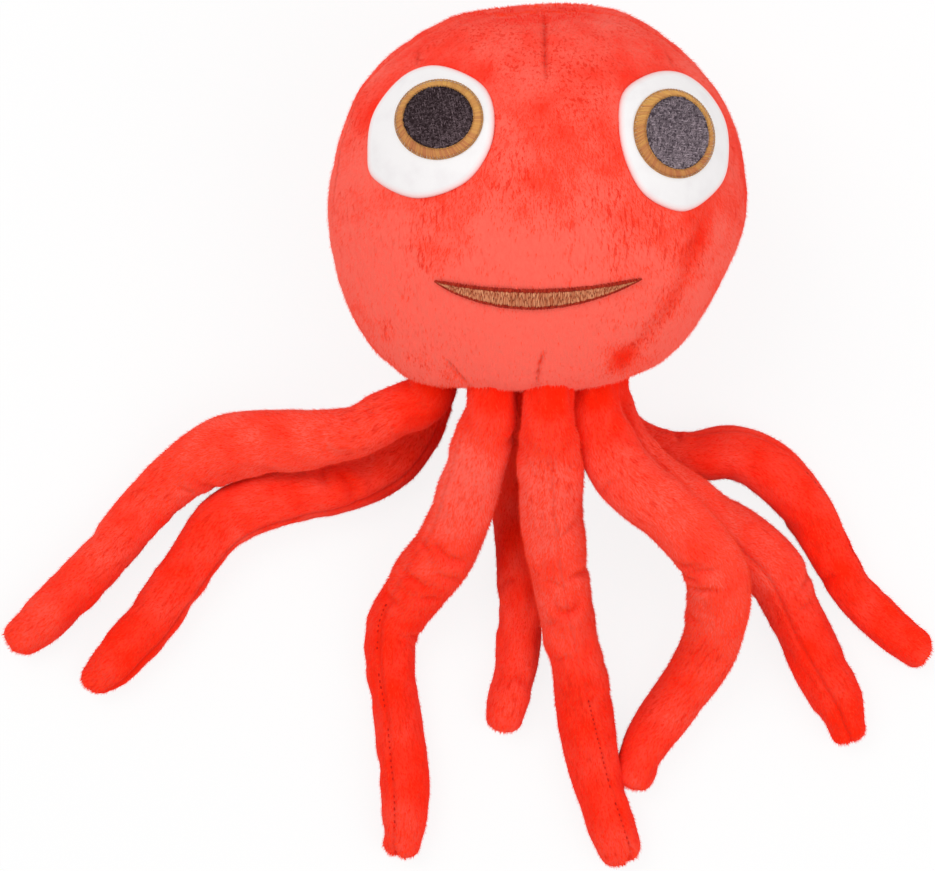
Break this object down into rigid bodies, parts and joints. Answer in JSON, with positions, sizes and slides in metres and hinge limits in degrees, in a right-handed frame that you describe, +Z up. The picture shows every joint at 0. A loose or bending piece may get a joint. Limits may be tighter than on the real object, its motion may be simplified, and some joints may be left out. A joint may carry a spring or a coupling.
{
  "type": "plush octopus",
  "caption": "Soft red octopus toy lying on its back, with a round stuffed head, sewn-on eyes, a stitched smile and tapering stuffed arms that swing at their seams.",
  "frame": {"origin": "on the table, under the middle of the head, where the toy's back rests", "axes": "+Z up out of the face, +Y towards the crown of the head, +X to the viewer's right of the face"},
  "size_m": [0.3803, 0.3474, 0.1496],
  "materials": {
    "red_plush": "short pile plush",
    "polyester_filling": "loose fibre stuffing",
    "white_knit": "smooth brushed knit",
    "brown_thread": "satin stitch embroidery",
    "dark_thread": "filled embroidery",
    "mouth_thread": "satin stitch embroidery"
  },
  "bodies": {
    "head": {"head_front_panel": "red_plush", "head_back_panel": "red_plush", "head_base_panel": "red_plush", "head_filling": "polyester_filling", "left_eye_patch": "white_knit", "left_iris": "brown_thread", "left_pupil": "dark_thread", "right_eye_patch": "white_knit", "right_iris": "brown_thread", "right_pupil": "dark_thread", "mouth_embroidery": "mouth_thread"},
    "right_lower_arm": {"right_lower_arm_sleeve": "red_plush", "right_lower_arm_filling": "polyester_filling"},
    "front_right_arm": {"front_right_arm_sleeve": "red_plush", "front_right_arm_filling": "polyester_filling"},
    "centre_arm": {"centre_arm_sleeve": "red_plush", "centre_arm_filling": "polyester_filling"},
    "front_left_arm": {"front_left_arm_sleeve": "red_plush", "front_left_arm_filling": "polyester_filling"},
    "left_upper_arm": {"left_upper_arm_sleeve": "red_plush", "left_upper_arm_filling": "polyester_filling"},
    "left_lower_arm": {"left_lower_arm_sleeve": "red_plush", "left_lower_arm_filling": "polyester_filling"},
    "back_middle_arm": {"back_middle_arm_sleeve": "red_plush", "back_middle_arm_filling": "polyester_filling"},
    "right_upper_arm": {"right_upper_arm_sleeve": "red_plush", "right_upper_arm_filling": "polyester_filling"}
  },
  "joints": [
    {"name": "right_lower_arm_swing", "type": "hinge", "parent": "head", "child": "right_lower_arm", "pos_m": [0.03514, -0.07629, 0.05118], "axis": [-0.6962, -0.4676, 0.5446], "range_deg": [0, 30]},
    {"name": "front_right_arm_swing", "type": "hinge", "parent": "head", "child": "front_right_arm", "pos_m": [0.02702, -0.08296, 0.07605], "axis": [-0.9908, -0.1356, 0], "range_deg": [0, 70]},
    {"name": "centre_arm_swing", "type": "hinge", "parent": "head", "child": "centre_arm", "pos_m": [0.00307, -0.08618, 0.08809], "axis": [-0.9876, -0.1568, 0], "range_deg": [0, 70]},
    {"name": "front_left_arm_swing", "type": "hinge", "parent": "head", "child": "front_left_arm", "pos_m": [-0.02268, -0.08408, 0.08025], "axis": [-0.9848, 0.1735, 0], "range_deg": [0, 70]},
    {"name": "left_upper_arm_swing", "type": "hinge", "parent": "head", "child": "left_upper_arm", "pos_m": [-0.03514, -0.07788, 0.05712], "axis": [-0.4769, 0.84, 0.2588], "range_deg": [0, 45]},
    {"name": "left_lower_arm_swing", "type": "hinge", "parent": "head", "child": "left_lower_arm", "pos_m": [-0.02702, -0.07122, 0.03224], "axis": [-0.6117, 0.7476, 0.2588], "range_deg": [0, 25]},
    {"name": "back_middle_arm_swing", "type": "hinge", "parent": "head", "child": "back_middle_arm", "pos_m": [-0.00307, -0.06799, 0.0202], "axis": [-0.9641, 0.0591, -0.2588], "range_deg": [0, 10]},
    {"name": "right_upper_arm_swing", "type": "hinge", "parent": "head", "child": "right_upper_arm", "pos_m": [0.02268, -0.07009, 0.02804], "axis": [-0.1652, -0.1992, 0.9659], "range_deg": [0, 30]}
  ]
}
